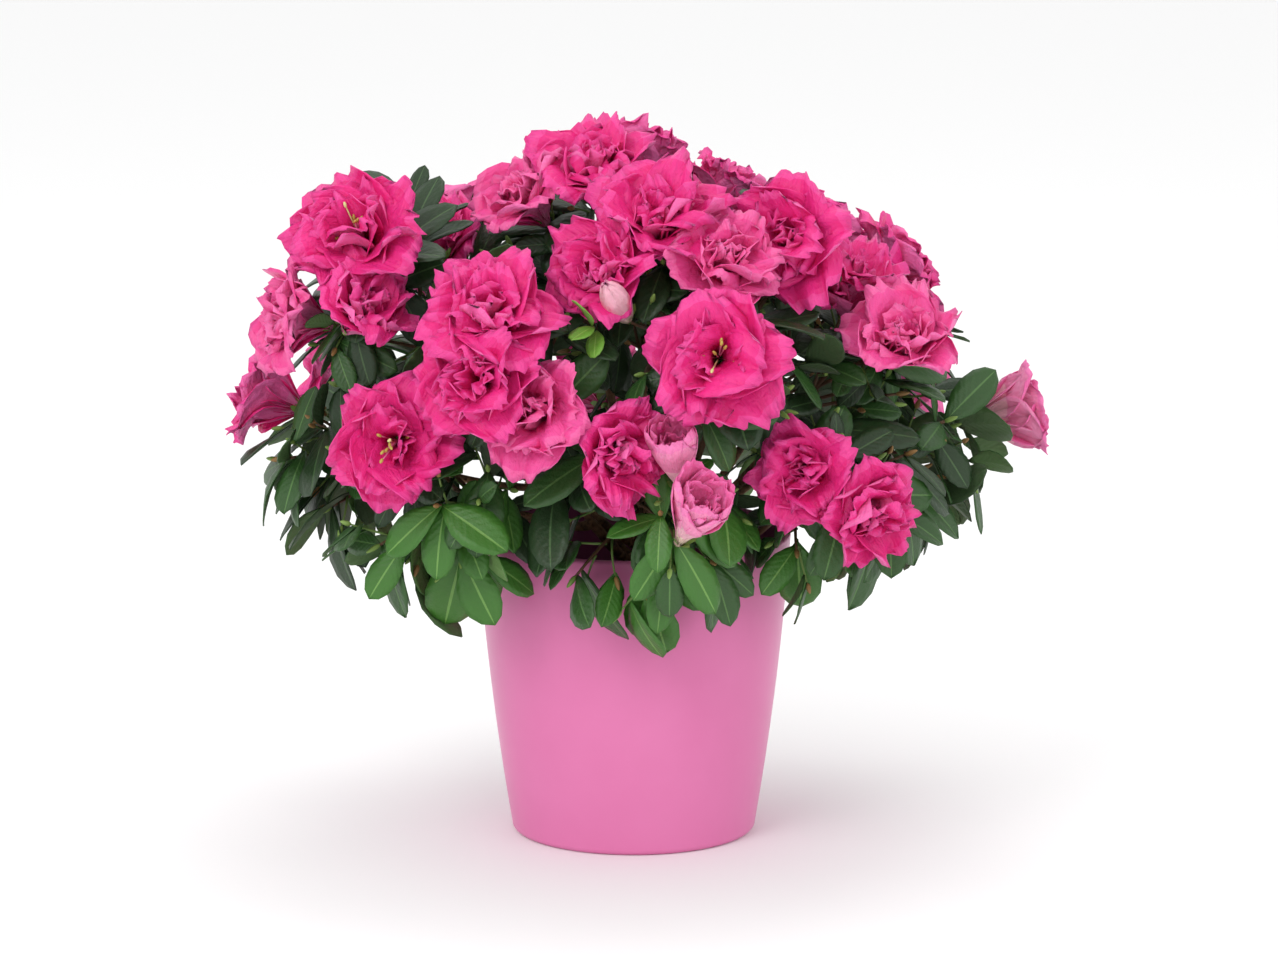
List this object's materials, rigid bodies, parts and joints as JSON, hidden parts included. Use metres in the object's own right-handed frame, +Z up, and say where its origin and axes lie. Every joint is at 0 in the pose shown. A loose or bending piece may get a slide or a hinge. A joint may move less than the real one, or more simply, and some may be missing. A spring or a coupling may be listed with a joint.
{
  "type": "potted azalea shrub",
  "caption": "A small evergreen azalea in full bloom with double ruffled pink flowers, standing in a tapered glazed pot.",
  "frame": {"origin": "middle of the pot's flat underside, where it stands", "axes": "+Z up through the middle of the pot, -Y towards the side that is looked at, +X to its right"},
  "size_m": [0.3454, 0.2974, 0.3184],
  "materials": {
    "pot": "gloss",
    "soil": "matte",
    "bark": "matte",
    "foliage": "matte"
  },
  "bodies": {
    "root": {"bough_back": "bark", "bough_back_left": "bark", "bough_back_right": "bark", "bough_front": "bark", "bough_front_left": "bark", "bough_front_right": "bark", "bough_left": "bark", "bough_right": "bark", "bough_top": "bark", "mass_back": "foliage", "mass_back_left": "foliage", "mass_back_right": "foliage", "mass_front": "foliage", "mass_front_left": "foliage", "mass_left": "foliage", "mass_low_back": "foliage", "mass_low_back_left": "foliage", "mass_low_back_right": "foliage", "mass_low_front": "foliage", "mass_low_front_left": "foliage", "mass_low_left": "foliage", "mass_low_right": "foliage", "mass_low_right_front": "foliage", "mass_right": "foliage", "mass_top": "foliage", "mass_upper_back": "foliage", "mass_upper_front": "foliage", "mass_upper_right": "foliage", "pot": "pot", "side_bough_low_back": "bark", "side_bough_low_back_left": "bark", "side_bough_low_back_right": "bark", "side_bough_low_front": "bark", "side_bough_low_front_left": "bark", "side_bough_low_left": "bark", "side_bough_low_right": "bark", "side_bough_upper_back": "bark", "side_bough_upper_front": "bark", "side_bough_upper_right": "bark", "soil": "soil", "trunk": "bark"}
  },
  "joints": []
}
